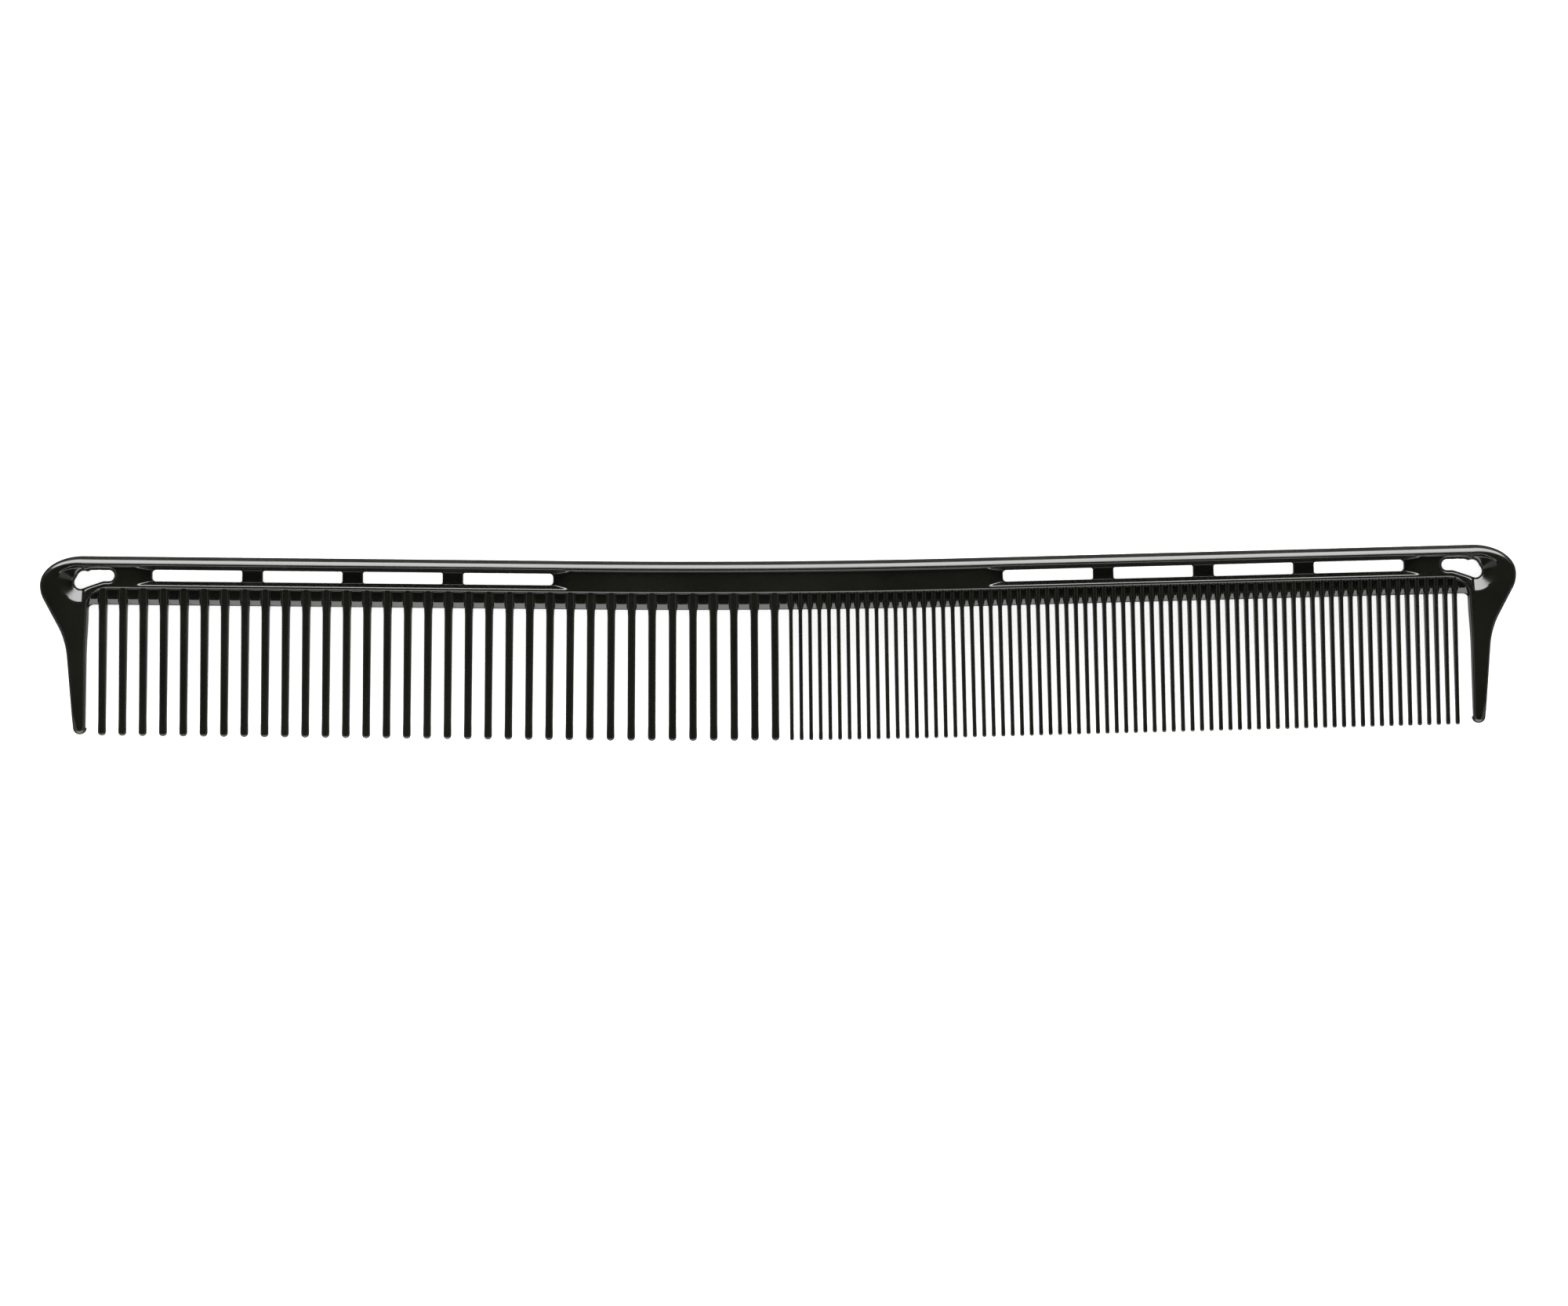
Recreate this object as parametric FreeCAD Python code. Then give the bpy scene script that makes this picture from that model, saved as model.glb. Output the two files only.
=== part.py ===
import FreeCAD, Part
import math
import os

# A long cutting comb with coarse and fine teeth, moulded in one piece. Sizes are millimetres.
#
# The comb lies flat. X runs along its length from the coarse teeth to the fine teeth, +Y points
# from the tooth tips to the spine's back, and Z goes through its thickness.
# The origin is the centre of the comb's box, at its lowest face.
# "Run" is the distance along the spine's top line from its middle, and "depth" is the distance
# below that line, towards the tooth tips. The front and the back are the same.

# Driving dimensions
OVERALL_LENGTH = 220.0
COMB_HEIGHT = 26.8               # from the spine's top line to the tooth tips
SPINE_THICKNESS = 4.2
BOW_ANGLE = math.radians(1.05)   # each arm of the spine rises by this much
BOW_HALF_RUN = 30.0              # the bend between the arms reaches this far each way

# Spine, from its top line downwards
BACK_ROUND = 1.9
RECESS_TOP = 1.55                # the sunk panel starts here
WINDOW_TOP = 1.97
WINDOW_BOTTOM = 3.68
PANEL_BOTTOM = 4.85              # the sunk panel ends here, above the tooth web
WEB_BOTTOM = 7.25
PANEL_THICKNESS = 3.3
PANEL_EDGE_ROUND = 0.35
WEB_THICKNESS = 1.9
WEB_ROUND = 0.9

# Window rows: four windows on each arm, with three bridges between them
ROW_START = 33.5
END_WINDOW = 13.45
MIDDLE_WINDOW = 11.9
WINDOW_LENGTHS = (END_WINDOW, MIDDLE_WINDOW, MIDDLE_WINDOW, END_WINDOW)
BRIDGE_LENGTH = 3.05
BRIDGE_THICKNESS = 1.6
CHANNEL_TOP = 1.35               # the dished channel round a row starts here
CHANNEL_LIP = 4.3                # and ends here, at the panel's height
CHANNEL_RAMP = 2.2               # length of its ramps at the row's two ends

# End guards, measured inwards from the comb's end
NOSE_LENGTH = 6.4
NOSE_DROP = 4.3
NOSE_STRAIGHT = 0.2
FLARE_ANGLE = math.radians(29.0)
FLARE_RADIUS = 4.3
FLARE_LENGTH = 4.3
ANKLE_RADIUS = 12.0
LEG_ANGLE = math.radians(5.0)
GUARD_HEIGHT = 26.65
GUARD_INNER_EDGE = 7.0
GUARD_WEB_LENGTH = 1.0
GUARD_TOP_LENGTH = 11.6          # the guard meets the rails and the panel here
GUARD_EDGE_ROUND = 0.45          # the back's round shrinks to this along the nose
LEG_TIP_THICKNESS = 2.6
LEG_TAPER_START = 10.0

# Hanging hole in each guard: a bent slot with a scooped rim
HOLE_END = 11.0
HOLE_HALF_WIDTH = 0.85
HOLE_BEND = 8.0
LOBE_CENTRE = 5.9
LOBE_DEPTH = 3.95
LOBE_RADIUS = 0.97
SCOOP_RADIUS = 3.1
SCOOP_FLOOR = 0.3                # half thickness left at the hole's rim
SCOOP_INNER_LIMIT = 6.5

# Teeth
TOOTH_ROOT_THICKNESS = 2.9
TOOTH_TIP_THICKNESS = 1.4
TOOTH_FLARE_END = 8.6
COARSE_COUNT = 34
COARSE_FIRST = -100.63
COARSE_PITCH = 3.033
COARSE_WIDTH = 1.09
COARSE_ROOT_WIDTH = 1.35
FINE_COUNT = 71
FINE_FIRST = 1.86
FINE_PITCH = 1.4134
FINE_WIDTH = 0.55
FINE_ROOT_WIDTH = 0.85

# Worked out from these
BOW_RADIUS = BOW_HALF_RUN / BOW_ANGLE
HALF_RUN = BOW_HALF_RUN + (
    (OVERALL_LENGTH / 2 - (NOSE_DROP + BOW_RADIUS) * math.sin(BOW_ANGLE)) / math.cos(BOW_ANGLE))
GUARD_JOINT = HALF_RUN - GUARD_TOP_LENGTH
WEB_JOINT = HALF_RUN - GUARD_INNER_EDGE - GUARD_WEB_LENGTH
COARSE_LAST = COARSE_FIRST + (COARSE_COUNT - 1) * COARSE_PITCH
WEB_SPLIT = (COARSE_LAST + FINE_FIRST) / 2
ROW_END = ROW_START + sum(WINDOW_LENGTHS) + 3 * BRIDGE_LENGTH
WINDOW_HALF = (WINDOW_BOTTOM - WINDOW_TOP) / 2
WINDOW_MIDDLE = (WINDOW_BOTTOM + WINDOW_TOP) / 2

ORIGIN = FreeCAD.Vector(0, 0, 0)
ALONG = FreeCAD.Vector(1, 0, 0)
THROUGH = FreeCAD.Vector(0, 0, 1)
SPARE = 3.0                      # how far a cutting block runs past what it cuts
SAME_POINT = 1e-6


def point(run, depth, z=0.0):
    """A point of a local frame."""
    return FreeCAD.Vector(run, -depth, z)


def station(run):
    """The local frame at a run along the bowed top line."""
    bend = max(-BOW_HALF_RUN, min(BOW_HALF_RUN, run))
    straight = run - bend
    angle = bend / BOW_RADIUS
    x = BOW_RADIUS * math.sin(angle) + straight * math.cos(angle)
    y = BOW_RADIUS * (1 - math.cos(angle)) + straight * math.sin(angle)
    return FreeCAD.Placement(FreeCAD.Vector(x, y, 0), FreeCAD.Rotation(THROUGH, math.degrees(angle)))


def placed(shape, placement):
    """A copy of a shape, moved from a local frame to its place."""
    moved = shape.copy()
    moved.Placement = placement.multiply(moved.Placement)
    return moved


def mirrored(shape):
    """The same shape on the comb's other arm."""
    return shape.mirror(ORIGIN, ALONG)


def joined(solids):
    """One solid from touching ones, with no seams left between them."""
    if len(solids) == 1:
        return solids[0]
    return solids[0].fuse(solids[1:]).removeSplitter()


def line(start, end):
    return Part.LineSegment(start, end).toShape()


def arc(start, middle, end):
    return Part.Arc(start, middle, end).toShape()


def section_arc(depth, z, radius, start, end):
    """An arc of a section. Its angles are degrees from straight up, turning towards +Z."""
    def on_arc(angle):
        turn = math.radians(angle)
        return point(0, depth - radius * math.cos(turn), z + radius * math.sin(turn))
    return arc(on_arc(start), on_arc((start + end) / 2), on_arc(end))


def closed_face(parts):
    """A face from arcs and lines in order, with straight lines where they leave a gap."""
    edges = []
    for part, following in zip(parts, parts[1:] + parts[:1]):
        edges.append(part)
        here = part.lastVertex(True).Point
        there = following.firstVertex(True).Point
        if here.distanceToPoint(there) > SAME_POINT:
            edges.append(line(here, there))
    return Part.Face(Part.Wire(edges))


def spine_length(section, start, end):
    """A length of the spine: a section carried along the bowed line from one run to another."""
    stops = [start] + [stop for stop in (-BOW_HALF_RUN, BOW_HALF_RUN) if start < stop < end] + [end]
    pieces = []
    for low, high in zip(stops[:-1], stops[1:]):
        frame = station(low)
        face = placed(section, frame)
        if abs(low + high) / 2 < BOW_HALF_RUN:
            centre = FreeCAD.Vector(0, BOW_RADIUS, 0)
            pieces.append(face.revolve(centre, THROUGH, math.degrees((high - low) / BOW_RADIUS)))
        else:
            pieces.append(face.extrude(frame.Rotation.multVec(ALONG * (high - low))))
    return joined(pieces)


def block(run, depth, z, run_end, depth_end, z_end):
    """A plain block of a local frame."""
    corner = point(run, depth_end, z)
    return Part.makeBox(run_end - run, depth_end - depth, z_end - z, corner)


def top_rail_section():
    flat = SPINE_THICKNESS / 2 - BACK_ROUND
    crest = math.degrees(math.acos((BACK_ROUND - RECESS_TOP) / BACK_ROUND))
    panel = PANEL_THICKNESS / 2
    return closed_face([
        section_arc(BACK_ROUND, flat, BACK_ROUND, 0, crest),
        line(point(0, RECESS_TOP, panel), point(0, WINDOW_TOP, panel)),
        line(point(0, WINDOW_TOP, -panel), point(0, RECESS_TOP, -panel)),
        section_arc(BACK_ROUND, -flat, BACK_ROUND, -crest, 0),
    ])


def flat_section(top, bottom, thickness, edge_round=0.0):
    """A flat bar's section, whose two lower edges may be rounded."""
    half = thickness / 2
    upper = line(point(0, top, -half), point(0, top, half))
    if not edge_round:
        return closed_face([upper, line(point(0, bottom, half), point(0, bottom, -half))])
    depth = bottom - edge_round
    flat = half - edge_round
    return closed_face([
        upper,
        section_arc(depth, flat, edge_round, 90, 180),
        section_arc(depth, -flat, edge_round, 180, 270),
    ])


def capsule(run, depth, run_end, depth_end, radius):
    """A cutting slot with round ends, right through the comb."""
    start = point(run, depth)
    end = point(run_end, depth_end)
    direction = end - start
    side = direction.cross(THROUGH).normalize() * radius
    tip = direction.normalize() * radius
    outline = [
        line(start - side, end - side),
        arc(end - side, end + tip, end + side),
        line(end + side, start + side),
        arc(start + side, start - tip, start - side),
    ]
    face = Part.Face(Part.Wire(outline))
    face.translate(THROUGH * -SPARE)
    return face.extrude(THROUGH * 2 * SPARE)


def rectangle(run, depth, run_end, depth_end, z):
    corners = [point(run, depth, z), point(run_end, depth, z),
               point(run_end, depth_end, z), point(run, depth_end, z)]
    return Part.makePolygon(corners + corners[:1])


def row_channel():
    """The dished channel round the left row, as a cutter for the front and the back."""
    floor = BRIDGE_THICKNESS / 2
    crest = SPINE_THICKNESS / 2
    slope = (crest - floor) / (PANEL_THICKNESS / 2 - floor)
    lip = WINDOW_BOTTOM + (CHANNEL_LIP - WINDOW_BOTTOM) * slope
    ramp = CHANNEL_RAMP * slope
    cutters = []
    for side in (1, -1):
        low = rectangle(-ROW_END, WINDOW_TOP, -ROW_START, WINDOW_BOTTOM, side * floor)
        high = rectangle(-ROW_END - ramp, CHANNEL_TOP, -ROW_START + ramp, lip, side * crest)
        cutters.append(Part.makeLoft([low, high], True, True))
    return arm_placed(cutters[0].fuse(cutters[1]))


def arm_placed(shape):
    """A shape drawn by run and depth along the left arm, moved to its place on the arm."""
    frame = station(-HALF_RUN)
    back = FreeCAD.Placement(FreeCAD.Vector(HALF_RUN, 0, 0), FreeCAD.Rotation())
    return placed(shape, frame.multiply(back))


def guard_outline():
    """The left guard's face, drawn from the comb's end: first number inwards, second down."""
    def at_angle(centre, radius, angle):
        return centre + point(-radius * math.cos(angle), radius * math.sin(angle))

    nose = Part.Ellipse(point(NOSE_LENGTH, NOSE_DROP), NOSE_LENGTH, NOSE_DROP)
    nose_edge = Part.ArcOfEllipse(nose, math.pi / 2, math.pi).toShape()
    flare_depth = NOSE_DROP + NOSE_STRAIGHT
    flare_centre = point(FLARE_RADIUS, flare_depth)
    flare_start = point(0, flare_depth)
    flare_end = at_angle(flare_centre, FLARE_RADIUS, FLARE_ANGLE)
    flare = arc(flare_start, at_angle(flare_centre, FLARE_RADIUS, FLARE_ANGLE / 2), flare_end)
    ankle_start = flare_end + point(math.sin(FLARE_ANGLE), math.cos(FLARE_ANGLE)) * FLARE_LENGTH
    outwards = point(-math.cos(FLARE_ANGLE), math.sin(FLARE_ANGLE))
    ankle_centre = ankle_start + outwards * ANKLE_RADIUS
    ankle_end = at_angle(ankle_centre, -ANKLE_RADIUS, LEG_ANGLE)
    ankle_middle = at_angle(ankle_centre, -ANKLE_RADIUS, (FLARE_ANGLE + LEG_ANGLE) / 2)
    ankle = arc(ankle_start, ankle_middle, ankle_end)

    # The tip is a full round between the leg's slanted outer side and its straight inner side.
    slack = GUARD_INNER_EDGE - ankle_end.x
    fall = GUARD_HEIGHT + ankle_end.y
    turn = math.tan(LEG_ANGLE)
    tip_radius = (slack - fall * turn) / (1 + 1 / math.cos(LEG_ANGLE) - turn)
    tip_centre = point(GUARD_INNER_EDGE - tip_radius, GUARD_HEIGHT - tip_radius)
    tip_start = at_angle(tip_centre, tip_radius, LEG_ANGLE)
    tip_end = tip_centre + point(tip_radius, 0)
    tip = arc(tip_start, tip_centre + point(0, tip_radius), tip_end)

    corner = GUARD_WEB_LENGTH
    corner_centre = point(GUARD_INNER_EDGE + corner, WEB_BOTTOM + corner)
    bend = arc(point(GUARD_INNER_EDGE, WEB_BOTTOM + corner),
               corner_centre + point(-corner, -corner) * math.sqrt(0.5),
               point(GUARD_INNER_EDGE + corner, WEB_BOTTOM))
    step = line(point(GUARD_INNER_EDGE + corner, PANEL_BOTTOM), point(GUARD_TOP_LENGTH, PANEL_BOTTOM))
    top = line(point(GUARD_TOP_LENGTH, 0), point(NOSE_LENGTH, 0))
    return closed_face([top, nose_edge, flare, ankle, tip, bend, step])


def hanging_hole():
    """The bent slot through a guard, with its rounder lobe at the outer end."""
    straight = capsule(HOLE_BEND, WINDOW_MIDDLE, HOLE_END - HOLE_HALF_WIDTH, WINDOW_MIDDLE, HOLE_HALF_WIDTH)
    slanted = capsule(LOBE_CENTRE, LOBE_DEPTH, HOLE_BEND, WINDOW_MIDDLE, HOLE_HALF_WIDTH)
    lobe = Part.makeCylinder(LOBE_RADIUS, 2 * SPARE, point(LOBE_CENTRE, LOBE_DEPTH, -SPARE))
    return straight.fuse([slanted, lobe])


def hole_scoops():
    """The dished rims of a hanging hole and the sunk panel beside it, front and back."""
    height = SPINE_THICKNESS / 2 - SCOOP_FLOOR
    limit = block(0, RECESS_TOP, -SPARE, SCOOP_INNER_LIMIT, WEB_BOTTOM + SPARE, SPARE)
    cutters = []
    for side in (1, -1):
        centre = point(LOBE_CENTRE, LOBE_DEPTH, side * SCOOP_FLOOR)
        cone = Part.makeCone(LOBE_RADIUS, SCOOP_RADIUS, height, centre, THROUGH * side)
        cutters.append(cone.common(limit))
        low, high = sorted((side * PANEL_THICKNESS / 2, side * SPARE))
        cutters.append(block(LOBE_CENTRE, RECESS_TOP, low, GUARD_TOP_LENGTH + SPARE, PANEL_BOTTOM, high))
    return cutters[0].fuse(cutters[1:])


def leg_tapers():
    """Wedges that thin a guard's leg towards its tip, front and back."""
    full = SPINE_THICKNESS / 2
    tip = LEG_TIP_THICKNESS / 2
    end = GUARD_HEIGHT + SPARE
    end_z = full - (full - tip) * (end - LEG_TAPER_START) / (GUARD_HEIGHT - LEG_TAPER_START)
    wedges = []
    for side in (1, -1):
        corners = [point(0, LEG_TAPER_START, side * full), point(0, end, side * end_z),
                   point(0, end, side * SPARE), point(0, LEG_TAPER_START, side * SPARE)]
        face = Part.Face(Part.makePolygon(corners + corners[:1]))
        wedges.append(face.extrude(ALONG * GUARD_TOP_LENGTH))
    return wedges


def left_guard():
    """The rounded end of the comb, with its leg beside the teeth and its hanging hole."""
    face = guard_outline()
    face.translate(THROUGH * -SPINE_THICKNESS / 2)
    plate = face.extrude(THROUGH * SPINE_THICKNESS)
    nose_edges = [edge for edge in plate.Edges if edge.Curve.TypeId == "Part::GeomEllipse"]
    plate = plate.makeFillet(BACK_ROUND, GUARD_EDGE_ROUND, nose_edges)
    plate = plate.cut([hanging_hole(), hole_scoops()] + leg_tapers())
    return placed(plate, station(-HALF_RUN))


def row_slot():
    """The left window row as one long round-ended slot."""
    start = ROW_START + WINDOW_HALF
    end = ROW_END - WINDOW_HALF
    return arm_placed(capsule(-end, WINDOW_MIDDLE, -start, WINDOW_MIDDLE, WINDOW_HALF))


def left_bridges(channel):
    """The three bridges that divide the left row, thinned by the channel."""
    half = PANEL_THICKNESS / 2
    bridges = []
    run = -ROW_START
    for window in WINDOW_LENGTHS[:-1]:
        run -= window + BRIDGE_LENGTH
        bar = block(run, WINDOW_TOP, -half, run + BRIDGE_LENGTH, WINDOW_BOTTOM, half)
        bridges.append(arm_placed(bar).cut(channel))
    return bridges


def spine_nodes():
    """Rails, panels, bridges and the two guards."""
    channels = [row_channel()]
    channels.append(mirrored(channels[0]))
    slots = [row_slot()]
    slots.append(mirrored(slots[0]))
    nodes = {"left_end_guard": left_guard(), "right_end_guard": mirrored(left_guard())}

    bottom_section = flat_section(WINDOW_BOTTOM, PANEL_BOTTOM, PANEL_THICKNESS, PANEL_EDGE_ROUND)
    stretches = {
        "left": (-GUARD_JOINT, -BOW_HALF_RUN),
        "centre": (-BOW_HALF_RUN, BOW_HALF_RUN),
        "right": (BOW_HALF_RUN, GUARD_JOINT),
    }
    for name, (start, end) in stretches.items():
        top = spine_length(top_rail_section(), start, end)
        bottom = spine_length(bottom_section, start, end)
        nodes[f"{name}_top_rail"] = top.cut(channels)
        nodes[f"{name}_bottom_rail"] = bottom.cut(channels)

    panel_section = flat_section(WINDOW_TOP, WINDOW_BOTTOM, PANEL_THICKNESS)
    left_panel = spine_length(panel_section, -GUARD_JOINT, WINDOW_HALF - ROW_END)
    left_panel = left_panel.cut(slots + channels)
    middle_end = ROW_START + WINDOW_HALF
    centre_panel = spine_length(panel_section, -middle_end, middle_end)
    nodes["left_panel"] = left_panel
    nodes["centre_panel"] = centre_panel.cut(slots + channels)
    nodes["right_panel"] = mirrored(left_panel)
    for number, bridge in enumerate(left_bridges(channels[0]), 1):
        nodes[f"left_window_bridge_{number}"] = bridge
        nodes[f"right_window_bridge_{number}"] = mirrored(bridge)
    return nodes


def tooth(run, width, root_width, web):
    """One tooth: it straddles the web, flares at its root and ends in a round tip."""
    half = width / 2
    root = root_width / 2
    tip_depth = COMB_HEIGHT - half
    front = closed_face([
        line(point(-root, PANEL_BOTTOM), point(root, PANEL_BOTTOM)),
        line(point(root, WEB_BOTTOM), point(half, TOOTH_FLARE_END)),
        arc(point(half, tip_depth), point(0, COMB_HEIGHT), point(-half, tip_depth)),
        line(point(-half, TOOTH_FLARE_END), point(-root, WEB_BOTTOM)),
    ])
    thick = TOOTH_ROOT_THICKNESS / 2
    thin = TOOTH_TIP_THICKNESS / 2
    side = closed_face([
        line(point(0, PANEL_BOTTOM, thick), point(0, PANEL_BOTTOM, -thick)),
        line(point(0, WEB_BOTTOM, -thick), point(0, COMB_HEIGHT - thin, -thin)),
        arc(point(0, COMB_HEIGHT - thin, -thin), point(0, COMB_HEIGHT, 0),
            point(0, COMB_HEIGHT - thin, thin)),
        line(point(0, COMB_HEIGHT - thin, thin), point(0, WEB_BOTTOM, thick)),
    ])
    front.translate(THROUGH * -SPINE_THICKNESS / 2)
    side.translate(ALONG * -root_width)
    shape = front.extrude(THROUGH * SPINE_THICKNESS).common(side.extrude(ALONG * 2 * root_width))
    return placed(shape, station(run)).cut(web)


def tooth_nodes():
    """The two webs and every tooth: a node for each coarse tooth, and one for the fine ones."""
    section = flat_section(PANEL_BOTTOM, WEB_BOTTOM, WEB_THICKNESS, WEB_ROUND)
    coarse_web = spine_length(section, -WEB_JOINT, WEB_SPLIT)
    fine_web = spine_length(section, WEB_SPLIT, WEB_JOINT)
    nodes = {"coarse_tooth_web": coarse_web, "fine_tooth_web": fine_web}
    for number in range(COARSE_COUNT):
        run = COARSE_FIRST + number * COARSE_PITCH
        name = f"coarse_tooth_{number + 1:02d}"
        nodes[name] = tooth(run, COARSE_WIDTH, COARSE_ROOT_WIDTH, coarse_web)
    fine_runs = [FINE_FIRST + number * FINE_PITCH for number in range(FINE_COUNT)]
    fine = [tooth(run, FINE_WIDTH, FINE_ROOT_WIDTH, fine_web) for run in fine_runs]
    nodes["fine_teeth"] = Part.makeCompound(fine)
    return nodes


def main():
    nodes = {**spine_nodes(), **tooth_nodes()}
    box = Part.makeCompound(list(nodes.values())).optimalBoundingBox(False, False)
    to_origin = FreeCAD.Vector(-box.Center.x, -box.Center.y, -box.ZMin)
    os.makedirs("parts", exist_ok=True)
    for name, shape in nodes.items():
        shape.translate(to_origin)
        shape.exportStep(f"parts/{name}.step")
        print(name, "valid" if shape.isValid() else "INVALID", len(shape.Solids), round(shape.Volume, 2))
    print("box", round(box.XLength, 3), round(box.YLength, 3), round(box.ZLength, 3))


main()
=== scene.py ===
import math

import bpy
import numpy as np
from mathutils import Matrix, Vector


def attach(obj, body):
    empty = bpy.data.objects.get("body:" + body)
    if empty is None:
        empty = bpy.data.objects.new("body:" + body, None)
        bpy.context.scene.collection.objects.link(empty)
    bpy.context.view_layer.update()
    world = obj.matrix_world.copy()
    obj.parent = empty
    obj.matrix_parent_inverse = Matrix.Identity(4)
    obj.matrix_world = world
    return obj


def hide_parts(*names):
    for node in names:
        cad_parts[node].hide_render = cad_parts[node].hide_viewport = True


# The looks of a long black cutting comb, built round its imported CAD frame.
#
# The comb is drawn straight first, in millimetres. "Run" goes along the spine from its middle,
# "depth" goes down from the spine's top line to the tooth tips, "inward" goes in from the
# comb's nearer end, and z goes through the thickness from the middle plane.
# A field gives how far a point lies outside the plastic. Each piece is meshed from the field
# inside its own stretch of the comb and is then bent along the spine's bow.

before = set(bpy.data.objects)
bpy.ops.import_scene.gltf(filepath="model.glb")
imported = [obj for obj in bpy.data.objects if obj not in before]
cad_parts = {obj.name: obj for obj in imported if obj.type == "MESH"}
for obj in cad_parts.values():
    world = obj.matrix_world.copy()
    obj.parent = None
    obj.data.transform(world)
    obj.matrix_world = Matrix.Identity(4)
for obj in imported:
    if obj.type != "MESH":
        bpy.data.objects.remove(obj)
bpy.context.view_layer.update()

MM = 0.001

# Sizes shared with the CAD model
OVERALL_LENGTH = 220.0
COMB_HEIGHT = 26.8
BOW_ANGLE = math.radians(1.05)
BOW_HALF_RUN = 30.0
TOP_LINE_Y = 12.588              # the spine's top line at its middle, in the frame
SPINE_HALF = 2.1                 # half thicknesses
PANEL_HALF = 1.65
WEB_HALF = 0.95
RECESS_TOP = 1.55
WINDOW_TOP = 1.97
WINDOW_BOTTOM = 3.68
PANEL_BOTTOM = 4.85
WEB_BOTTOM = 7.25
ROW_START = 33.5
WINDOW_LENGTHS = (13.45, 11.9, 11.9, 13.45)
BRIDGE_LENGTH = 3.05
NOSE_LENGTH = 6.4
NOSE_DROP = 4.3
FLARE_START = 4.5
FLARE_ANGLE = math.radians(29.0)
FLARE_RADIUS = 4.3
FLARE_LENGTH = 4.3
ANKLE_RADIUS = 12.0
LEG_ANGLE = math.radians(5.0)
GUARD_HEIGHT = 26.65
GUARD_INNER_EDGE = 7.0
GUARD_WEB_LENGTH = 1.0
GUARD_TOP_LENGTH = 11.6
LEG_TIP_HALF = 1.3
LEG_TAPER_START = 10.0
COARSE_COUNT = 34
COARSE_FIRST = -100.63
COARSE_PITCH = 3.033
FINE_COUNT = 71
FINE_FIRST = 1.86
FINE_PITCH = 1.4134
TOOTH_ROOT_HALF = 1.45
TOOTH_TIP_HALF = 0.7

# Rounds and blends that only the looks have
BACK_ROUND = 1.95
EDGE_ROUND = 0.45                # the back's round shrinks to this along the nose
TIP_ROUND = 0.9                  # and grows to this at a leg's tip
LEG_TIP_START = 23.5
LEG_TIP_END = 26.0
LEG_SLIMMING = 0.22              # a leg's inner side draws back by this between two depths
LEG_SLIMMING_START = 8.0
LEG_SLIMMING_END = 15.0
RAIL_ROUND = 0.38                # the back's step down to the sunk panel
RIM_ROUND = 0.5                  # the panel's lower rim
WEB_ROUND = 0.2
WEB_BEVEL = 0.85                 # slope of the web's bevelled lower edge
WEB_EDGE_HALF = 0.16
RIM_CORNER = 3.4                 # the rim sweeps down into the guard over this length
GUARD_RISE_DEPTH = 6.6           # the panel has risen to the guard's thickness at this depth,
GUARD_RISE_START = 6.5           # and between these two inward places
GUARD_RISE_END = 3.0
WEB_CORNER = 1.17
SEAM_BLEND = 0.12
CUT_BLEND = 0.16
ROW_END_CORNER = 0.55
WINDOW_CORNER = 0.28
CHANNEL_RISE = 0.85              # from the bridges up to the panel
CHANNEL_ABOVE = 0.37             # how far the channel's walls take for that rise
CHANNEL_BELOW = 0.6
CHANNEL_RAMP = 2.5
CHANNEL_CREASE = 0.4
CHANNEL_FLOOR_HALF = 0.72
CHANNEL_BLEND = 0.24
CHAMFER_TOP = 1.2                # a small bevel above the windows starts here
CHAMFER_PAST_ROW = 0.6           # it goes this share of a ramp past the row
CHAMFER_FADE = 1.5               # and then runs out at this slope
HOLE_LIP_HALF = 0.9
HOLE_LIP_SLOPE = 2.2
LIP_BLEND = 0.32
SCOOP_FLOOR = 0.8                # half thickness left at the hanging hole's lobe
SCOOP_SLOPE = 0.52
SCOOP_STEEPER_BELOW = 0.1        # more slope on the side towards the leg
SCOOP_LIMIT = 6.45               # a steep wall ends the scoop at this inward place
SCOOP_WALL = 3.5
SCOOP_WALL_BLEND = 0.25

# The hanging hole, by inward place, depth and radius
HOLE_SLOT = ((7.6, 2.93), (10.15, 2.9), 0.82)
HOLE_SLANT = ((6.47, 3.81), (8.6, 3.05), 0.88)
HOLE_SHOULDER = (6.4, 3.32, 1.1)
HOLE_LOBE = (5.9, 3.95, 0.97)
HOLE_BLEND = 0.25
LOBE_BLEND = 0.2

# Where the skin has sunk a little, by run, reach and amount
SINK_MARKS = ((31.5, 1.6, 0.022), (35.5, 2.2, 0.010), (95.8, 2.0, 0.018),
              (101.5, 1.4, 0.016), (64.0, 9.0, 0.008), (0.0, 14.0, 0.006))

# Teeth
ROOT_TOP = PANEL_BOTTOM - 0.25   # the teeth start inside the panel's rim
ROOT_FLARE_START = 6.6           # they are wider above this depth
VALLEY_START = 5.9               # the fillets between teeth and web shrink between these depths
VALLEY_END = 7.1
TIP_THINNING = 0.5               # a tooth's half thickness falls by this round its tip

# Worked out from these
BOW_RADIUS = BOW_HALF_RUN / BOW_ANGLE
HALF_RUN = BOW_HALF_RUN + (
    (OVERALL_LENGTH / 2 - (NOSE_DROP + BOW_RADIUS) * math.sin(BOW_ANGLE)) / math.cos(BOW_ANGLE))
WINDOW_MIDDLE = (WINDOW_TOP + WINDOW_BOTTOM) / 2
WINDOW_HALF = (WINDOW_BOTTOM - WINDOW_TOP) / 2
ROW_LENGTH = sum(WINDOW_LENGTHS) + 3 * BRIDGE_LENGTH
ROW_MIDDLE = ROW_START + ROW_LENGTH / 2
STRAIGHT_START = FLARE_START + FLARE_RADIUS * math.sin(FLARE_ANGLE)
STRAIGHT_END = STRAIGHT_START + FLARE_LENGTH * math.cos(FLARE_ANGLE)
ANKLE_CENTRE = STRAIGHT_END + ANKLE_RADIUS * math.sin(FLARE_ANGLE)
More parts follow.
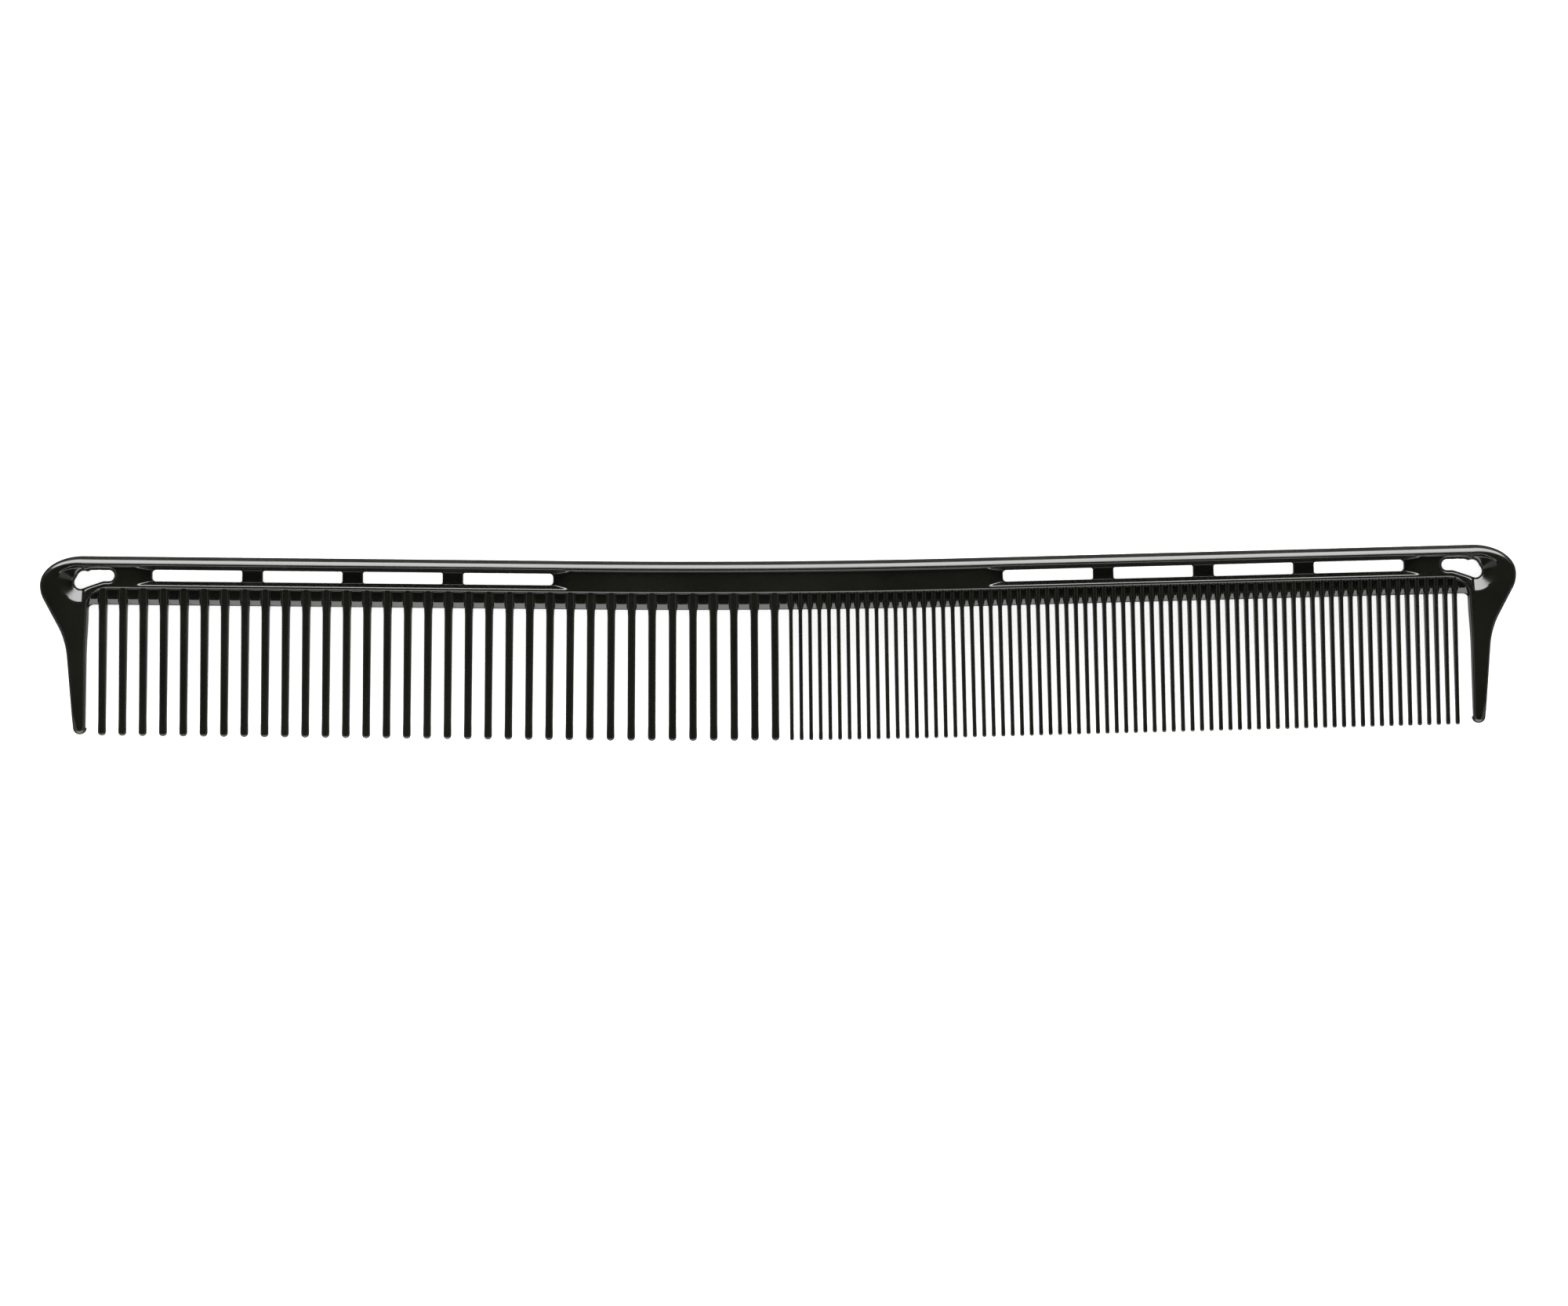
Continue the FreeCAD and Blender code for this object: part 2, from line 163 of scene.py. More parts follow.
LEG_START = ANKLE_CENTRE - ANKLE_RADIUS * math.sin(LEG_ANGLE)
COARSE_LAST = COARSE_FIRST + (COARSE_COUNT - 1) * COARSE_PITCH
WEB_SPLIT = (COARSE_LAST + FINE_FIRST) / 2
GUARD_JOINT = HALF_RUN - GUARD_TOP_LENGTH
WEB_JOINT = HALF_RUN - GUARD_INNER_EDGE - GUARD_WEB_LENGTH
FINE_SPLIT = FINE_FIRST + (FINE_COUNT // 2 + 0.5) * FINE_PITCH

TINY = 1e-9                      # keeps divisions safe


# ---------------------------------------------------------------- small maths

def smooth_step(value, start, end):
    """0 before start, 1 after end, and a smooth rise between them."""
    t = np.clip((value - start) / (end - start), 0, 1)
    return t * t * (3 - 2 * t)


def smooth_max(a, b, blend):
    """The larger of two fields, with the edge where they meet rounded off."""
    gap = np.maximum(blend - np.abs(a - b), 0)
    return np.maximum(a, b) + gap * gap / (4 * blend)


def smooth_min(a, b, blend):
    """The smaller of two fields, with the corner where they meet filled in."""
    return -smooth_max(-a, -b, blend)


def rounded_pair(a, b, radius):
    """The solid inside both fields, with their shared edge rounded to a radius."""
    a = a + radius
    b = b + radius
    outside = np.hypot(np.maximum(a, 0), np.maximum(b, 0))
    return outside + np.minimum(np.maximum(a, b), 0) - radius


def plate(outline, z, half, radius):
    """An outline made half thick each way, with rounded edges."""
    return rounded_pair(outline, np.abs(z) - half, radius)


def corner_box(x, y, half_x, half_y, radius):
    """Distance outside a rectangle with rounded corners."""
    return rounded_pair(np.abs(x) - half_x, np.abs(y) - half_y, radius)


def circle(x, y, centre_x, centre_y, radius):
    return np.hypot(x - centre_x, y - centre_y) - radius


def capsule(x, y, start, end, radius):
    """Distance outside a slot with round ends."""
    ax, ay = start
    bx, by = end
    share = ((x - ax) * (bx - ax) + (y - ay) * (by - ay)) / ((bx - ax) ** 2 + (by - ay) ** 2)
    share = np.clip(share, 0, 1)
    return np.hypot(x - ax - share * (bx - ax), y - ay - share * (by - ay)) - radius


# ---------------------------------------------------------------- the comb's shape

def side_edge(depth):
    """Where a guard's outer side lies at a depth, and the cosine of its slant there."""
    steepest = math.sin(FLARE_ANGLE)
    flare = np.clip((depth - FLARE_START) / FLARE_RADIUS, 0, steepest)
    ankle = np.clip((ANKLE_CENTRE - depth) / ANKLE_RADIUS, math.sin(LEG_ANGLE), steepest)
    flare_cos = np.sqrt(1 - flare ** 2)
    ankle_cos = np.sqrt(1 - ankle ** 2)
    place = FLARE_RADIUS * (1 - flare_cos)
    straight = np.clip(depth - STRAIGHT_START, 0, STRAIGHT_END - STRAIGHT_START)
    place += straight * math.tan(FLARE_ANGLE)
    place += ANKLE_RADIUS * (ankle_cos - math.cos(FLARE_ANGLE))
    place += np.maximum(depth - LEG_START, 0) * math.tan(LEG_ANGLE)
    return place, np.where(depth < STRAIGHT_END, flare_cos, ankle_cos)


def tip_circle():
    """Inward place, depth and radius of the full round at a leg's tip."""
    start = float(side_edge(np.array(LEG_START))[0])
    turn = math.tan(LEG_ANGLE)
    width = GUARD_INNER_EDGE - start - (GUARD_HEIGHT - LEG_START) * turn
    radius = width / (1 + 1 / math.cos(LEG_ANGLE) - turn)
    return GUARD_INNER_EDGE - radius, GUARD_HEIGHT - radius, radius


TIP_INWARD, TIP_DEPTH, TIP_RADIUS = tip_circle()


def outer_edge(inward, depth):
    """Distance outside the comb's outline: its back, nose, guard side and leg tip."""
    across = np.maximum(NOSE_LENGTH - inward, 0) / NOSE_LENGTH
    up = (NOSE_DROP - depth) / NOSE_DROP
    reach = np.hypot(across, up)
    steep = np.maximum(np.hypot(across / NOSE_LENGTH, up / NOSE_DROP), TINY)
    nose = (reach - 1) * reach / steep
    place, cosine = side_edge(depth)
    side = (place - inward) * cosine
    tip = circle(inward, depth, TIP_INWARD, TIP_DEPTH, TIP_RADIUS)
    tip_start = TIP_DEPTH - np.maximum(TIP_INWARD - inward, 0) * math.tan(LEG_ANGLE)
    side = np.where(depth > tip_start, tip, side)
    return np.where(depth < NOSE_DROP, nose, side)


def nose_turn(inward, depth):
    """0 on the back, rising to 1 along the nose, and 1 on the rest of the guard."""
    across = np.maximum(NOSE_LENGTH - inward, 0) / NOSE_LENGTH
    up = np.maximum(NOSE_DROP - depth, 0) / NOSE_DROP
    turn = np.arctan2(across, up) / (math.pi / 2)
    return np.where(depth < NOSE_DROP, turn, 1.0)


def sink_marks(run):
    """How much the skin has sunk where the moulding changes thickness."""
    sunk = 0.0
    for place, reach, amount in SINK_MARKS:
        sunk = sunk + amount * np.exp(-((np.abs(run) - place) / reach) ** 2)
    return sunk


def window_edge(run, depth):
    """Distance outside the nearest window of the two rows."""
    run = np.abs(run)
    edge = np.inf
    start = ROW_START
    for number, length in enumerate(WINDOW_LENGTHS):
        middle = start + length / 2
        corner = WINDOW_CORNER
        if number in (0, len(WINDOW_LENGTHS) - 1):
            outer = (run < middle) if number == 0 else (run > middle)
            corner = np.where(outer, ROW_END_CORNER, WINDOW_CORNER)
        box = corner_box(run - middle, depth - WINDOW_MIDDLE, length / 2, WINDOW_HALF, corner)
        edge = np.minimum(edge, box)
        start += length + BRIDGE_LENGTH
    return edge


def hole_edge(inward, depth):
    """Distance outside the hanging hole, a bent slot with a rounder outer end."""
    slot = capsule(inward, depth, *HOLE_SLOT)
    slanted = capsule(inward, depth, *HOLE_SLANT)
    edge = smooth_min(slot, slanted, HOLE_BLEND)
    edge = smooth_min(edge, circle(inward, depth, *HOLE_SHOULDER), HOLE_BLEND)
    return smooth_min(edge, circle(inward, depth, *HOLE_LOBE), LOBE_BLEND)


def width_along(half, root_extra, root_end, tip_extra, tip_start, tip_end):
    """A tooth's half width as a function of depth: wider at its root and again near its tip."""
    def width(depth):
        root = 1 - smooth_step(depth, ROOT_FLARE_START, root_end)
        tip = smooth_step(depth, tip_start, tip_end)
        return half + root_extra * root + tip_extra * tip
    return width


def tooth_half(depth):
    """Half thickness of a tooth at a depth."""
    share = np.clip((depth - WEB_BOTTOM) / (COMB_HEIGHT - WEB_BOTTOM), 0, 1)
    return TOOTH_ROOT_HALF + (TOOTH_TIP_HALF - TOOTH_ROOT_HALF) * share


# "edge" rounds a tooth's long edges, and "valley" is its fillets' size above and below. The last
# two are mesh settings: points on each rounded corner, and grid cells to a tooth.
TEETH = {
    "coarse": dict(first=COARSE_FIRST, pitch=COARSE_PITCH, count=COARSE_COUNT,
                   width=width_along(0.545, 0.06, 8.6, 0.03, 24.0, 26.0),
                   edge=0.34, valley=(0.34, 0.12), corner_points=6, cells=18),
    "fine": dict(first=FINE_FIRST, pitch=FINE_PITCH, count=FINE_COUNT,
                 width=width_along(0.275, 0.04, 8.2, 0.022, 25.0, 26.3),
                 edge=0.2, valley=(0.5, 0.1), corner_points=5, cells=13),
}


def tooth_roots(run, depth, z, kind):
    """Distance outside the nearest tooth of a kind."""
    teeth = TEETH[kind]
    number = np.clip(np.round((run - teeth["first"]) / teeth["pitch"]), 0, teeth["count"] - 1)
    offset = run - teeth["first"] - number * teeth["pitch"]
    shaft = corner_box(offset, z, teeth["width"](depth), tooth_half(depth), teeth["edge"])
    return np.maximum(shaft, ROOT_TOP - depth)


def past_row(run):
    """How far a run lies past the nearer end of a window row."""
    return np.abs(np.abs(run) - ROW_MIDDLE) - ROW_LENGTH / 2


def channel_floor(run, depth, z):
    """The dished channel round a row: its walls fall to the bridges."""
    along = np.maximum(past_row(run), 0) / CHANNEL_RAMP
    wall = np.where(depth < WINDOW_MIDDLE, CHANNEL_ABOVE, CHANNEL_BELOW)
    across = np.maximum(np.abs(depth - WINDOW_MIDDLE) - WINDOW_HALF, 0) / wall
    reach = smooth_max(along, across, CHANNEL_CREASE)
    on_wall = smooth_step(across - along, -CHANNEL_CREASE, CHANNEL_CREASE)
    slope = CHANNEL_RISE * (on_wall / wall + (1 - on_wall) / CHANNEL_RAMP)
    return (np.abs(z) - CHANNEL_FLOOR_HALF - CHANNEL_RISE * reach) / np.hypot(1, slope)


def channel_chamfer(run, depth, z):
    """The bevel along the top of the channel, fading out past the row's ends."""
    past = np.maximum(past_row(run) - CHAMFER_PAST_ROW * CHANNEL_RAMP, 0)
    fall = np.where(depth < WINDOW_TOP, depth - CHAMFER_TOP, 0)
    height = SPINE_HALF - fall + CHAMFER_FADE * past
    return (np.abs(z) - height) / math.sqrt(2)


def scoop_floor(inward, depth, z, outer):
    """The cone dished out round the hanging hole's lobe."""
    _, lobe_depth, lobe_radius = HOLE_LOBE
    reach = circle(inward, depth, *HOLE_LOBE)
    inner_wall = smooth_max(inward - SCOOP_LIMIT, 0, SCOOP_WALL_BLEND)
    outer_wall = smooth_max(outer + RECESS_TOP, 0, SCOOP_WALL_BLEND)
    downwards = (depth - lobe_depth) / (reach + lobe_radius + 0.01)
    slope = SCOOP_SLOPE + SCOOP_STEEPER_BELOW * smooth_step(downwards, -0.2, 0.9)
    height = SCOOP_FLOOR + slope * reach + SCOOP_WALL * (inner_wall + outer_wall)
    return (np.abs(z) - height) / math.hypot(1, SCOOP_SLOPE)


def uncut(run, inward, depth, z, outer, kind):
    """The comb before its channels, scoops and openings are cut."""
    edge = BACK_ROUND + (EDGE_ROUND - BACK_ROUND) * nose_turn(inward, depth)
    edge = edge + (TIP_ROUND - EDGE_ROUND) * smooth_step(depth, LEG_TIP_START, LEG_TIP_END)
    thinned = np.clip((depth - LEG_TAPER_START) / (GUARD_HEIGHT - LEG_TAPER_START), 0, 1)
    full = SPINE_HALF - (SPINE_HALF - LEG_TIP_HALF) * thinned - sink_marks(run)
    shell = plate(outer, z, full, edge)

    slimmed = LEG_SLIMMING * smooth_step(depth, LEG_SLIMMING_START, LEG_SLIMMING_END)
    inner_side = inward - GUARD_INNER_EDGE + slimmed
    rim = smooth_min(depth - PANEL_BOTTOM, inner_side, RIM_CORNER)
    onto_guard = np.maximum(smooth_step(depth, PANEL_BOTTOM, GUARD_RISE_DEPTH),
                            smooth_step(-inward, -GUARD_RISE_START, -GUARD_RISE_END))
    half = PANEL_HALF + (full - PANEL_HALF) * onto_guard
    body = plate(rim, z, half, RIM_ROUND)
    rail = plate(-outer - RECESS_TOP, z, full, RAIL_ROUND)
    web_edge = smooth_min(depth - WEB_BOTTOM, inner_side, WEB_CORNER)
    bevel = (np.abs(z) - WEB_EDGE_HALF + WEB_BEVEL * web_edge) / math.hypot(1, WEB_BEVEL)
    web = smooth_max(plate(web_edge, z, WEB_HALF, WEB_ROUND), bevel, WEB_ROUND)
    if kind:
        high_valley, low_valley = TEETH[kind]["valley"]
        share = smooth_step(depth, VALLEY_START, VALLEY_END)
        valley = high_valley + (low_valley - high_valley) * share
        web = smooth_min(web, tooth_roots(run, depth, z, kind), valley)
    solid = smooth_min(smooth_min(body, rail, SEAM_BLEND), web, SEAM_BLEND)
    return np.maximum(solid, shell)


def plastic(run, depth, z, kind=None):
    """Distance outside the comb, less the free parts of its teeth."""
    inward = HALF_RUN - np.abs(run)
    outer = outer_edge(inward, depth)
    solid = uncut(run, inward, depth, z, outer, kind)
    solid = smooth_max(solid, channel_floor(run, depth, z), CHANNEL_BLEND)
    solid = smooth_max(solid, channel_chamfer(run, depth, z), CUT_BLEND)
    solid = smooth_max(solid, scoop_floor(inward, depth, z, outer), CUT_BLEND)
    hole = hole_edge(inward, depth)
    lip = (np.abs(z) - HOLE_LIP_HALF - HOLE_LIP_SLOPE * hole) / math.hypot(1, HOLE_LIP_SLOPE)
    solid = smooth_max(solid, lip, LIP_BLEND)
    opening = np.minimum(window_edge(run, depth), hole)
    return smooth_max(solid, -opening, CUT_BLEND)


# ---------------------------------------------------------------- meshing the field

SETTLE_STEPS = 6
SETTLE_LIMIT = 0.12              # the longest move in a step
FLATTEST = 0.05                  # the least squared slope that a step divides by


def grid_lines(knots, planes=(), cell=0.1):
    """Grid lines from (place, spacing) knots, with one narrow cell set round each plane."""
    lines = [knots[0][0]]
    places = [place for place, _ in knots]
    spacings = [spacing for _, spacing in knots]
    while lines[-1] < places[-1]:
        lines.append(lines[-1] + float(np.interp(lines[-1], places, spacings)))
    lines = np.array(lines)
    for plane in planes:
        lines = lines[np.abs(lines - plane) > cell * 0.9]
        lines = np.sort(np.append(lines, (plane - cell / 2, plane + cell / 2)))
    return lines


def gradient(field, points, step=0.004):
    """The field's slope at each point, by small steps each way."""
    slopes = []
    for axis in range(3):
        shift = np.zeros(3)
        shift[axis] = step
        slopes.append((field(points + shift) - field(points - shift)) / (2 * step))
    return np.stack(slopes, axis=1)


def settle(field, points, free):
    """Moves points along their free axes onto the field's surface."""
    for _ in range(SETTLE_STEPS):
        slope = gradient(field, points) * free
        size = np.maximum((slope ** 2).sum(axis=1), FLATTEST)
        move = -(field(points) / size)[:, None] * slope
        points = points + np.clip(move, -SETTLE_LIMIT, SETTLE_LIMIT)
    return points


def shifted(block, offsets):
    """The block of corner values at one corner of every cell."""
    cut = tuple(slice(o, o + n - 1) for o, n in zip(offsets, block.shape))
    return block[cut]


CORNERS = [(i, j, k) for i in (0, 1) for j in (0, 1) for k in (0, 1)]


def far_end(corner, axis):
    """The corner of a cell at the other end of the edge that leaves a corner along an axis."""
    return tuple(c + (a == axis) for a, c in enumerate(corner))


def crossing_middles(cells, low, high, values):
    """The middle of the places where the field changes sign on each cell's edges."""
    corner_values = {c: values[tuple((cells + c).T)] for c in CORNERS}
    total = np.zeros((len(cells), 3))
    crossings = np.zeros(len(cells))
    for axis in range(3):
        for corner in CORNERS:
            if corner[axis]:
                continue
            near_value = corner_values[corner]
            far_value = corner_values[far_end(corner, axis)]
            crosses = (near_value < 0) != (far_value < 0)
            share = np.where(crosses, near_value / np.where(crosses, near_value - far_value, 1), 0)
            spot = low + (high - low) * np.array(corner)
            spot[:, axis] += share * (high - low)[:, axis]
            total += spot * crosses[:, None]
            crossings += crosses
    on_skin = crossings > 0
    middles = total / np.maximum(crossings, 1)[:, None]
    return np.where(on_skin[:, None], middles, (low + high) / 2), on_skin


def hold_to_region(cells, points, middles, region):
    """Holds the points of cells on the region's border to its planes, and says which are free."""
    free = np.ones((len(cells), 3))
    region_here = {c: region[cells[:, 0] + c[0], cells[:, 1] + c[1]] for c in CORNERS}
    for axis in range(2):
        held = np.zeros(len(cells), bool)
        for corner in CORNERS:
            if not corner[axis]:
                held |= region_here[corner] != region_here[far_end(corner, axis)]
        points[held, axis] = middles[held, axis]
        free[held, axis] = 0
    return free


def quads_across(axis, inside, index, region):
    """The quads that cross grid edges along an axis, and the flat normals of those on a cap."""
    a, b = [other for other in range(3) if other != axis]
    near = [slice(None)] * 3
    far = [slice(None)] * 3
    near[axis], far[axis] = slice(0, -1), slice(1, None)
    change = inside[tuple(near)].astype(np.int8) - inside[tuple(far)].astype(np.int8)
    edges = np.argwhere(change != 0)
    leaves = change[tuple(edges.T)] > 0
    ring = []
    for step_a, step_b in ((-1, -1), (0, -1), (0, 0), (-1, 0)):
        cell = edges.copy()
        cell[:, a] += step_a
        cell[:, b] += step_b
        ring.append(index[tuple(cell.T)])
    ring = np.stack(ring, axis=1)
    turned = leaves if axis != 1 else ~leaves
    ring = np.where(turned[:, None], ring, ring[:, ::-1])
    flat = np.zeros((len(edges), 3))
    if axis < 2:
        end = edges.copy()
        end[:, axis] += 1
        cap = region[edges[:, 0], edges[:, 1]] != region[end[:, 0], end[:, 1]]
        flat[:, axis] = np.where(leaves, 1, -1) * cap
    return ring, flat


def surface(lines, values, region, field):
    """Points, quads, point normals and quad cap normals of the solid in a region of the grid."""
    inside = (values < 0) & region[:, :, None]
    count = sum(shifted(inside, c).astype(np.int8) for c in CORNERS)
    active = (count > 0) & (count < len(CORNERS))
    cells = np.argwhere(active)
    index = np.full(active.shape, -1)
    index[tuple(cells.T)] = np.arange(len(cells))

    low = np.stack([lines[a][cells[:, a]] for a in range(3)], axis=1)
    high = np.stack([lines[a][cells[:, a] + 1] for a in range(3)], axis=1)
    points, on_skin = crossing_middles(cells, low, high, values)
    free = hold_to_region(cells, points, (low + high) / 2, region)
    points[on_skin] = settle(field, points[on_skin], free[on_skin])
    slope = gradient(field, points)
    normals = slope / np.maximum(np.linalg.norm(slope, axis=1), TINY)[:, None]

    quads, flats = zip(*(quads_across(axis, inside, index, region) for axis in range(3)))
    return points, np.concatenate(quads), normals, np.concatenate(flats)


def bow(points, normals=None):
    """Bends (run, depth, z) points along the spine's bow into the frame, in metres."""
    run, depth, z = points.T
    bend = np.clip(run, -BOW_HALF_RUN, BOW_HALF_RUN)
    straight = run - bend
    angle = bend / BOW_RADIUS
    sine, cosine = np.sin(angle), np.cos(angle)
    x = BOW_RADIUS * sine + straight * cosine + depth * sine
    y = BOW_RADIUS * (1 - cosine) + straight * sine - depth * cosine + TOP_LINE_Y
    placed = np.stack([x, y, z + SPINE_HALF], axis=1) * MM
    if normals is None:
        return placed, None
    n_run, n_depth, n_z = normals.T
    turned = np.stack([n_run * cosine + n_depth * sine, n_run * sine - n_depth * cosine, n_z],
                      axis=1)
    return placed, turned


def add_piece(name, nodes, points, faces, normals, flats=None, mirror=False):
    """A shown piece from drawn points and quads, standing for one or more CAD nodes."""
    points, normals = points.copy(), normals.copy()
    flats = np.zeros((len(faces), 3)) if flats is None else flats.copy()
    if mirror:
        for block in (points, normals, flats):
            block[:, 0] *= -1
    placed, turned = bow(points, normals)
    loops = faces if mirror else faces[:, ::-1]
    mesh = bpy.data.meshes.new(name)
    mesh.vertices.add(len(placed))
    mesh.vertices.foreach_set("co", placed.ravel())
    mesh.loops.add(loops.size)
    mesh.loops.foreach_set("vertex_index", loops.ravel().astype(np.int32))
    mesh.polygons.add(len(loops))
    mesh.polygons.foreach_set("loop_start", np.arange(0, loops.size, 4, dtype=np.int32))
    mesh.update(calc_edges=True)
    mesh.shade_smooth()
    loop_normals = turned[loops]
    capped = np.abs(flats).sum(axis=1) > 0
    if capped.any():
        middle = points[faces[capped]].mean(axis=1)
        _, flat_turned = bow(middle, flats[capped])
        loop_normals[capped] = flat_turned[:, None, :]
    mesh.normals_split_custom_set(loop_normals.reshape(-1, 3).tolist())
    mesh.materials.append(PLASTIC)
    piece = bpy.data.objects.new(name, mesh)
    bpy.context.scene.collection.objects.link(piece)
    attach(piece, "root")
    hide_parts(*nodes)


# ---------------------------------------------------------------- pieces

UPPER_SPLIT = 4.75               # the spine's pieces meet the web's here
WINDOW_SPLITS = (2.05, 3.55)     # rails above and below, panels and bridges between
TOOTH_SPLIT = 8.25               # the web's tooth roots meet the free teeth here

# Grid lines: even ones through the thickness and down the comb, and spacings along it
THROUGH_LINES = np.arange(-2.22, 2.23, 0.12)
SPINE_DEPTHS = np.arange(-0.1, 5.05, 0.1)
PANEL_DEPTHS = np.arange(1.8, 3.85, 0.1)
WEB_DEPTHS = np.arange(4.6, 8.45, 0.1)
GUARD_DEPTHS = np.arange(-0.1, 9.05, 0.1)
LEG_DEPTH_KNOTS = [(9.2, 0.2), (23.0, 0.3), (25.0, 0.14), (27.0, 0.12)]
GRID_SPARE = 0.3                 # a grid runs this far past its piece
PLAIN_END = 28.0                 # the spine is plain from its middle to here
RAMPS_START = 31.0
RAMP_END = 2.6                   # a row's ramp is over at this distance from the row
PLAIN_CELL = 0.9
WINDOW_CELL = 0.7                # at the middle of a window
OUTER_CELL = 0.2                 # at the guard's joint
RAMPS_START_CELL = 0.16
RAMP_CELL = 0.15
GUARD_CELL = 0.13
CORNER_CELL = 0.11               # within 1 mm of a window's end

# Rings of a free tooth: depths down its shaft, and turns round its tip
SHAFT_DEPTHS = (8.4, 8.6, 8.8, 9.2, 12.0, 16.0, 20.0, 23.8, 24.4, 25.0, 25.5, 25.9)
TIP_TURNS = np.radians(np.linspace(9, 86, 10))


def spine_lines():
    """The grid over the left arm and the middle, and the runs at the left windows' middles."""
    ends = [ROW_START]
    for length in WINDOW_LENGTHS:
        ends.append(ends[-1] + length)
        ends.append(ends[-1] + BRIDGE_LENGTH)
    ends = [-end for end in ends[:-1]]
    middles = [(a + b) / 2 for a, b in zip(ends[::2], ends[1::2])]
    knots = {-GUARD_JOINT - GRID_SPARE: OUTER_CELL, BOW_HALF_RUN + GRID_SPARE: PLAIN_CELL,
             -PLAIN_END: PLAIN_CELL, -RAMPS_START: RAMPS_START_CELL}
    for end in ends:
        knots.update({end - 1.0: CORNER_CELL, end + 1.0: CORNER_CELL})
    for middle in middles:
        knots[middle] = WINDOW_CELL
    for end, way in ((ends[0], 1), (ends[-1], -1)):
        knots[end + way * RAMP_END] = RAMP_CELL
    planes = [-GUARD_JOINT, -BOW_HALF_RUN, BOW_HALF_RUN] + middles
    return [grid_lines(sorted(knots.items()), planes), SPINE_DEPTHS, THROUGH_LINES], middles


def spine_pieces():
    """Rails, panels and bridges of the left arm, copied to the right, and of the middle."""
    lines, middles = spine_lines()
    run, depth, z = np.meshgrid(*lines, indexing="ij", sparse=True)
    values = plastic(run, depth, z) * np.ones((1, 1, len(z[0, 0])))

    def field(points):
        return plastic(*points.T)

    def region(start, end, top, bottom):
        return (run > start) & (run < end) & (depth > top) & (depth < bottom)

    def meshed(start, end, top, bottom):
        return surface(lines, values, region(start, end, top, bottom)[:, :, 0], field)

    above, below = WINDOW_SPLITS
    bands = {"top_rail": (-5, above), "bottom_rail": (below, UPPER_SPLIT)}
    for name, (top, bottom) in bands.items():
        side = meshed(-GUARD_JOINT, -BOW_HALF_RUN, top, bottom)
        add_piece(f"skin_left_{name}", [f"left_{name}"], *side)
        add_piece(f"skin_right_{name}", [f"right_{name}"], *side, mirror=True)
        middle = meshed(-BOW_HALF_RUN, BOW_HALF_RUN, top, bottom)
        add_piece(f"skin_centre_{name}", [f"centre_{name}"], *middle)
    side = meshed(-GUARD_JOINT, middles[-1], above, below)
    add_piece("skin_left_panel", ["left_panel"], *side)
    add_piece("skin_right_panel", ["right_panel"], *side, mirror=True)
    for number in range(3):
        side = meshed(middles[number + 1], middles[number], above, below)
        add_piece(f"skin_left_bridge_{number + 1}", [f"left_window_bridge_{number + 1}"], *side)
        add_piece(f"skin_right_bridge_{number + 1}", [f"right_window_bridge_{number + 1}"], *side,
                  mirror=True)
    centre_panel(field)


def centre_panel(field):
    """The long panel between the two rows, up to the middle of each row's first window."""
    end = ROW_START + WINDOW_LENGTHS[0] / 2
    half = [(0.0, PLAIN_CELL), (PLAIN_END, PLAIN_CELL), (RAMPS_START, RAMPS_START_CELL),
            (ROW_START - 1, CORNER_CELL), (ROW_START + 1, CORNER_CELL),
            (end + GRID_SPARE, WINDOW_CELL)]
    knots = [(-place, step) for place, step in half[::-1]] + half[1:]
    lines = [grid_lines(knots, (-end, end)), PANEL_DEPTHS, THROUGH_LINES]
    run, depth, z = np.meshgrid(*lines, indexing="ij", sparse=True)
    region = (np.abs(run) < end) & (depth > WINDOW_SPLITS[0]) & (depth < WINDOW_SPLITS[1])
    shape = surface(lines, plastic(run, depth, z), region[:, :, 0], field)
    add_piece("skin_centre_panel", ["centre_panel"], *shape)


def guard_pieces():
    """The left end guard and its mirror image."""
    knots = [(-HALF_RUN - 0.25, GUARD_CELL), (-GUARD_JOINT + GRID_SPARE, GUARD_CELL)]
    lines = [grid_lines(knots, (-GUARD_JOINT, -WEB_JOINT)),
             np.concatenate([GUARD_DEPTHS, grid_lines(LEG_DEPTH_KNOTS)]), THROUGH_LINES]
    run, depth, z = np.meshgrid(*lines, indexing="ij", sparse=True)
    region = (run < -WEB_JOINT) | (run < -GUARD_JOINT) & (depth < UPPER_SPLIT)
    shape = surface(lines, plastic(run, depth, z), region[:, :, 0], lambda p: plastic(*p.T))
    add_piece("skin_left_end_guard", ["left_end_guard"], *shape)
    add_piece("skin_right_end_guard", ["right_end_guard"], *shape, mirror=True)


def web_piece(kind, name, start, end):
    """A length of a thin web with the roots of its teeth."""
    step = TEETH[kind]["pitch"] / TEETH[kind]["cells"]
    knots = [(start - GRID_SPARE, step), (end + GRID_SPARE, step)]
    lines = [grid_lines(knots, (start, end)), WEB_DEPTHS, THROUGH_LINES]
    run, depth, z = np.meshgrid(*lines, indexing="ij", sparse=True)
    region = (run > start) & (run < end) & (depth > UPPER_SPLIT) & (depth < TOOTH_SPLIT)
    values = plastic(run, depth, z, kind)
    shape = surface(lines, values, region[:, :, 0], lambda p: plastic(*p.T, kind))
    add_piece(f"skin_{name}", [f"{kind}_tooth_web"], *shape)


